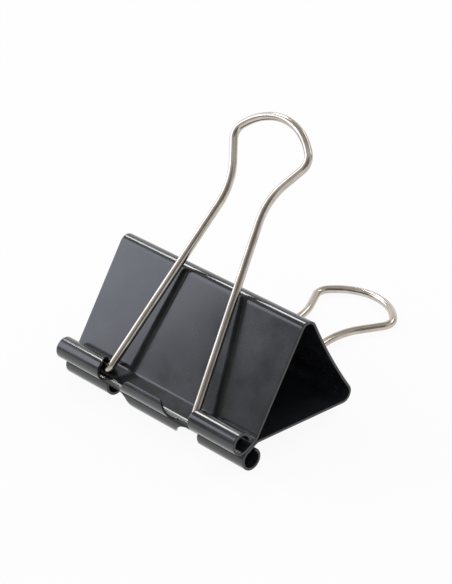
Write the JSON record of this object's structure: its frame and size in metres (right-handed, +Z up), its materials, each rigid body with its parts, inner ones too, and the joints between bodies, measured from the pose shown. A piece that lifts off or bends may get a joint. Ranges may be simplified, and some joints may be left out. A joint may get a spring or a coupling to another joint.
{
  "type": "binder clip",
  "caption": "Spring clip for paper: a folded black steel strip with rolled lips and a swinging wire handle hinged in the rolls of each jaw.",
  "frame": {"origin": "centre of the bounding box at its base, on the desk, as the clip lies on its back tubes and the end of its back handle", "axes": "+X along the mouth, +Y from the mouth towards the spine and the handles' loops, +Z up"},
  "size_m": [0.051, 0.0616, 0.0501],
  "materials": {
    "enamelled_steel": "glossy black enamel on spring steel",
    "nickel_wire": "bright nickel plate on steel wire"
  },
  "bodies": {
    "spine": {"spine": "enamelled_steel"},
    "front_jaw": {"front_jaw": "enamelled_steel"},
    "back_jaw": {"back_jaw": "enamelled_steel"},
    "front_handle": {"front_handle": "nickel_wire"},
    "back_handle": {"back_handle": "nickel_wire"}
  },
  "joints": [
    {"name": "front_jaw_open", "type": "hinge", "parent": "spine", "child": "front_jaw", "pos_m": [0, -0.01243, 0.0226], "axis": [-1, 0, 0], "range_deg": [0, 29], "stiffness_Nm_per_rad": 0.02, "springref_deg": -28.65},
    {"name": "back_jaw_open", "type": "hinge", "parent": "spine", "child": "back_jaw", "pos_m": [0, -0.00387, 0.00321], "axis": [1, 0, 0], "range_deg": [0, 29], "stiffness_Nm_per_rad": 0.02, "springref_deg": -28.65},
    {"name": "front_handle_swing", "type": "hinge", "parent": "front_jaw", "child": "front_handle", "pos_m": [0, -0.02865, 0.00632], "axis": [1, 0, 0], "range_deg": [0, 155]},
    {"name": "back_handle_swing", "type": "hinge", "parent": "back_jaw", "child": "back_handle", "pos_m": [0, -0.02683, 0.0022], "axis": [-1, 0, 0], "range_deg": [0, 155]}
  ],
  "couplings": [
    {"joint": "back_jaw_open", "follows": "front_jaw_open", "ratio": 1}
  ]
}
